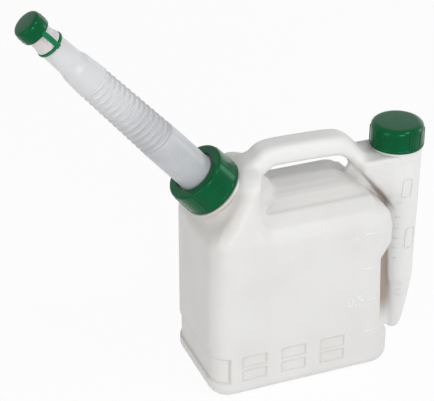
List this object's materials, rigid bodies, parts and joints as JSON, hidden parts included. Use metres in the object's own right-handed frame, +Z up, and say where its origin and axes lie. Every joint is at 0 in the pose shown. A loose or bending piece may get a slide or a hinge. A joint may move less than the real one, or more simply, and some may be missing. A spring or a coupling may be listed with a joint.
{
  "type": "fuel mixing bottle",
  "caption": "Hollow plastic bottle with carrying handle, side measuring tube with screw cap and slanted flexible pouring spout with tethered tip cap.",
  "frame": {"origin": "middle of the flat rib under the tank, on the surface that the bottle stands on", "axes": "+X along the long side from the pouring spout to the measuring tube, +Y through the thin side to the back, +Z up"},
  "size_m": [0.2759, 0.08, 0.2846],
  "materials": {
    "tank": "natural polyethylene, softly translucent satin",
    "green_cap": "glossy moulded polypropylene",
    "green_tether": "flexible satin polyethylene",
    "spout": "translucent soft polyethylene",
    "seal": "matt rubber",
    "liner": "foamed polyethylene disc"
  },
  "bodies": {
    "bottle": {"tank": "tank"},
    "union": {"spout_gasket": "seal"},
    "collar": {"spout_collar": "green_cap"},
    "spout": {"spout_base": "spout", "spout_bellows": "spout"},
    "nozzle": {"spout_nozzle": "spout"},
    "tether": {"tether_ring": "green_tether", "tether_strap": "green_tether"},
    "tip_cap": {"spout_cap": "green_cap", "spout_cap_liner": "liner"},
    "measure_seal": {"measuring_cap_liner": "liner"},
    "measure_cap": {"measuring_cap": "green_cap"}
  },
  "joints": [
    {"name": "union_rise", "type": "slide", "parent": "bottle", "child": "union", "axis": [-0.6561, 0, 0.7547], "range_m": [0, 0.00901]},
    {"name": "collar_turn", "type": "hinge", "parent": "union", "child": "collar", "pos_m": [-0.0524, 0, 0.1438], "axis": [-0.6561, 0, 0.7547], "range_deg": [0, 810]},
    {"name": "spout_swivel", "type": "hinge", "parent": "union", "child": "spout", "pos_m": [-0.0524, 0, 0.1438], "axis": [-0.6561, 0, 0.7547], "range_deg": [-180, 180]},
    {"name": "spout_bend", "type": "hinge", "parent": "spout", "child": "nozzle", "pos_m": [-0.1104, 0, 0.21052], "axis": [0, 1, 0], "range_deg": [-45, 45], "deforming": ["spout_bellows"]},
    {"name": "spout_cap_turn", "type": "hinge", "parent": "nozzle", "child": "tether", "pos_m": [-0.0524, 0, 0.1438], "axis": [-0.6561, 0, 0.7547], "range_deg": [0, 576]},
    {"name": "spout_cap_rise", "type": "slide", "parent": "tether", "child": "tip_cap", "axis": [-0.6561, 0, 0.7547], "range_m": [0, 0.00449], "deforming": ["tether_strap"]},
    {"name": "measuring_cap_rise", "type": "slide", "parent": "bottle", "child": "measure_seal", "axis": [0, 0, 1], "range_m": [0, 0.00721]},
    {"name": "measuring_cap_turn", "type": "hinge", "parent": "measure_seal", "child": "measure_cap", "pos_m": [0.0809, 0, 0.1487], "axis": [0, 0, 1], "range_deg": [0, 720]}
  ],
  "couplings": [
    {"joint": "union_rise", "follows": "collar_turn", "m_per_rad": 0.00063662},
    {"joint": "spout_cap_rise", "follows": "spout_cap_turn", "m_per_rad": 0.00044563},
    {"joint": "measuring_cap_rise", "follows": "measuring_cap_turn", "m_per_rad": 0.00057296}
  ]
}
